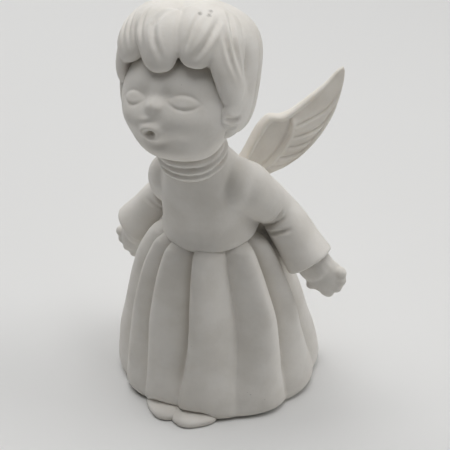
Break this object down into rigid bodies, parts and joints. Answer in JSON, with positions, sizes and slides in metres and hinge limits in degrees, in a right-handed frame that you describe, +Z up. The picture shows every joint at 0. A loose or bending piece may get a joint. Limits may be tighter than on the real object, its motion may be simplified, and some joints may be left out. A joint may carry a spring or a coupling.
{
  "type": "angel figurine",
  "caption": "Small standing child angel in a long pleated dress, leaning forward with pursed lips, arms held back and two feathered wings; hollow cast body closed by a base plate.",
  "frame": {"origin": "middle of the flat underside, on the surface that the figure stands on", "axes": "+Z up, the figure faces -Y, its left hand is on the +X side"},
  "size_m": [0.0742, 0.0671, 0.1264],
  "materials": {
    "matt_resin": "matt unpainted white cast resin with a fine powdery grain",
    "thin_resin": "the same white resin cast thin, slightly warmer and translucent",
    "closing_plate": "matt off-white, flat and unfinished underneath"
  },
  "bodies": {
    "root": {"base_plate": "closing_plate", "skirt": "matt_resin", "foot_left": "matt_resin", "foot_right": "matt_resin", "bodice": "matt_resin", "collar": "matt_resin", "sleeve_left": "matt_resin", "sleeve_right": "matt_resin", "hand_left": "matt_resin", "hand_right": "matt_resin", "wing_left": "thin_resin", "wing_right": "thin_resin", "head": "matt_resin", "hair": "matt_resin"}
  },
  "joints": []
}
